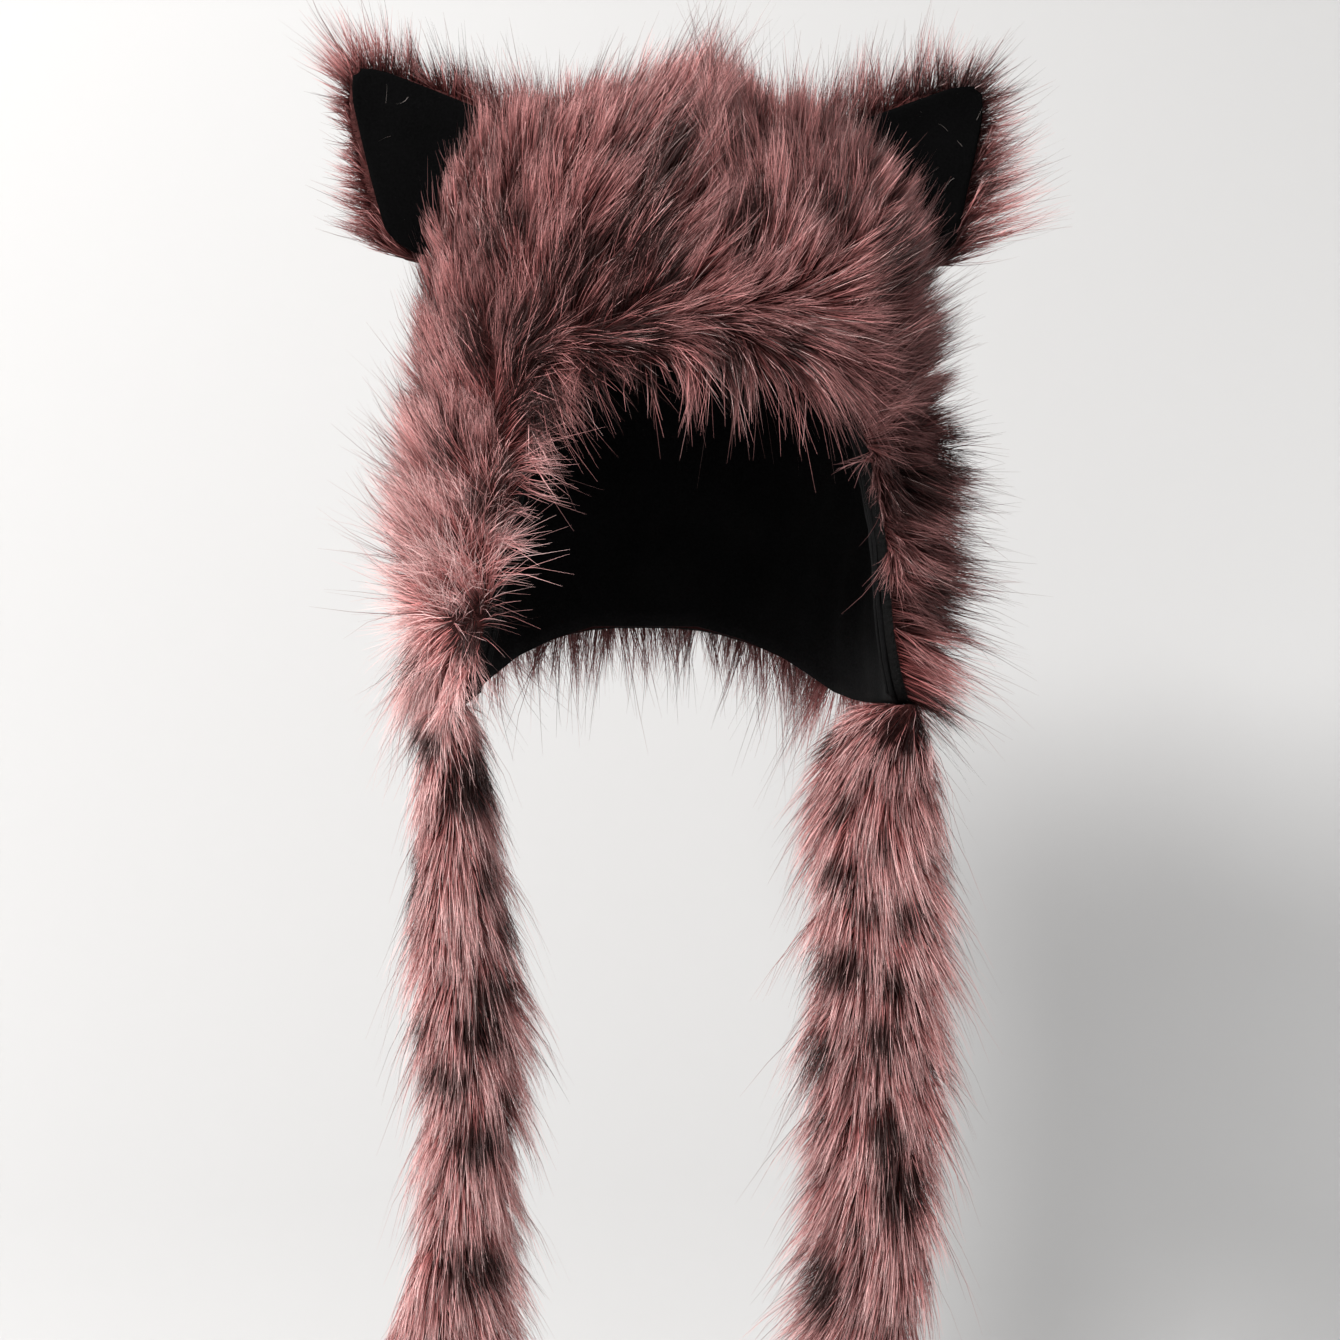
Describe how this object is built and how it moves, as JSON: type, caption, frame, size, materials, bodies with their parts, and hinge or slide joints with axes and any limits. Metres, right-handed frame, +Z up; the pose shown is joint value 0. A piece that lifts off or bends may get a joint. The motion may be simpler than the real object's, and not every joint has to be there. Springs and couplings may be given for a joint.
{
  "type": "cat ear hat",
  "caption": "Deep-pile fur hat with upright cat ears, long side flaps and a fur tail hanging from each flap, shown as a head holds it.",
  "frame": {"origin": "inside top of the lined crown, where the wearer's head bears", "axes": "+Z up, -Y out through the face opening, +X towards the flap on the right of the picture"},
  "size_m": [0.3658, 0.2412, 0.6971],
  "materials": {
    "crown_fur": "deep dusty rose faux fur with dark spots",
    "crown_lining": "matt black short-nap cloth",
    "flap_facing": "matt black short-nap cloth",
    "ear_fur": "deep dusty rose faux fur with dark spots",
    "ear_inner": "matt black short-nap cloth",
    "tail_fur": "long dusty pink faux fur with dark spots"
  },
  "bodies": {
    "root": {"crown_fur": "crown_fur", "crown_lining": "crown_lining", "flap_facing_left": "flap_facing", "flap_facing_right": "flap_facing", "ear_left_fur": "ear_fur", "ear_right_fur": "ear_fur", "ear_left_inner": "ear_inner", "ear_right_inner": "ear_inner", "tail_left": "tail_fur", "tail_right": "tail_fur"}
  },
  "joints": []
}
